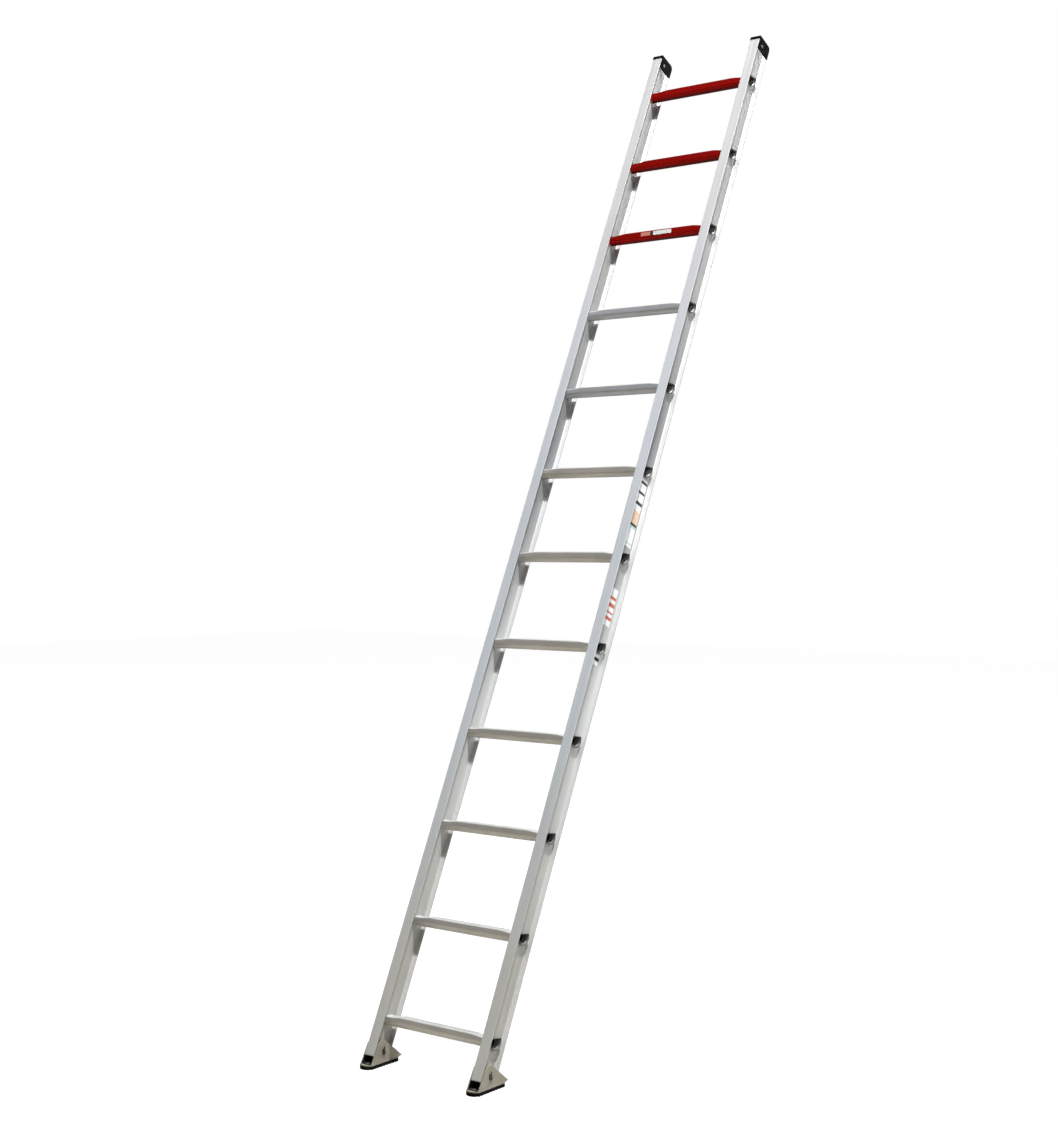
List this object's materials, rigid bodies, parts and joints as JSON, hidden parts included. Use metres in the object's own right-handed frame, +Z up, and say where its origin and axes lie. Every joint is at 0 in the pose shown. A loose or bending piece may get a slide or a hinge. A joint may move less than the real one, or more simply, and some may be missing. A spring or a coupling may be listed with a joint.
{
  "type": "extension ladder section",
  "caption": "Leaning aluminium ladder section with I-section rails, flared D-rungs, plastic end caps and slotted swivel feet with rubber pads.",
  "frame": {"origin": "on the floor midway between the two swivel feet, straight below the line of their axles", "axes": "+X across the ladder to the climber's right, +Y from the climber's side to the wall, +Z up; the ladder leans back 25 degrees"},
  "size_m": [0.456, 1.6239, 3.328],
  "materials": {
    "mill_aluminium": "mill finish, fine lengthwise grain",
    "rung_aluminium": "mill finish, ribbed tread",
    "red_paint": "satin red paint on aluminium",
    "black_plastic": "moulded, semi-matt",
    "black_rubber": "ribbed rubber",
    "foot_plate": "pressed plate, dull",
    "zinc_steel": "bright zinc plated",
    "sticker_white": "printed film, plain colour blocks"
  },
  "bodies": {
    "root": {"rail_left": "mill_aluminium", "rail_right": "mill_aluminium", "rung_01": "rung_aluminium", "rung_02": "rung_aluminium", "rung_03": "rung_aluminium", "rung_04": "rung_aluminium", "rung_05": "rung_aluminium", "rung_06": "rung_aluminium", "rung_07": "rung_aluminium", "rung_08": "rung_aluminium", "rung_09": "rung_aluminium", "rung_10": "red_paint", "rung_11": "red_paint", "rung_12": "red_paint", "end_cap_left": "black_plastic", "end_cap_right": "black_plastic", "cap_rivets": "zinc_steel", "axle_spacers_left": "zinc_steel", "axle_spacers_right": "zinc_steel", "sticker_web_upper": "sticker_white", "sticker_web_lower": "sticker_white", "sticker_web_small": "sticker_white", "sticker_rung": "sticker_white"},
    "axle_left": {"axle_left": "zinc_steel", "axle_rings_left": "zinc_steel"},
    "foot_left": {"foot_bracket_left": "foot_plate", "foot_pad_left": "black_rubber", "pad_rivets_left": "zinc_steel"},
    "axle_right": {"axle_right": "zinc_steel", "axle_rings_right": "zinc_steel"},
    "foot_right": {"foot_bracket_right": "foot_plate", "foot_pad_right": "black_rubber", "pad_rivets_right": "zinc_steel"}
  },
  "joints": [
    {"name": "foot_swivel_left", "type": "hinge", "parent": "root", "child": "axle_left", "pos_m": [-0.203, 0, 0.039], "axis": [1, 0, 0], "range_deg": [-33, 5]},
    {"name": "foot_slot_left", "type": "slide", "parent": "axle_left", "child": "foot_left", "axis": [0, 0, 1], "range_m": [-0.014, 0]},
    {"name": "foot_swivel_right", "type": "hinge", "parent": "root", "child": "axle_right", "pos_m": [0.203, 0, 0.039], "axis": [1, 0, 0], "range_deg": [-33, 5]},
    {"name": "foot_slot_right", "type": "slide", "parent": "axle_right", "child": "foot_right", "axis": [0, 0, 1], "range_m": [-0.014, 0]}
  ]
}
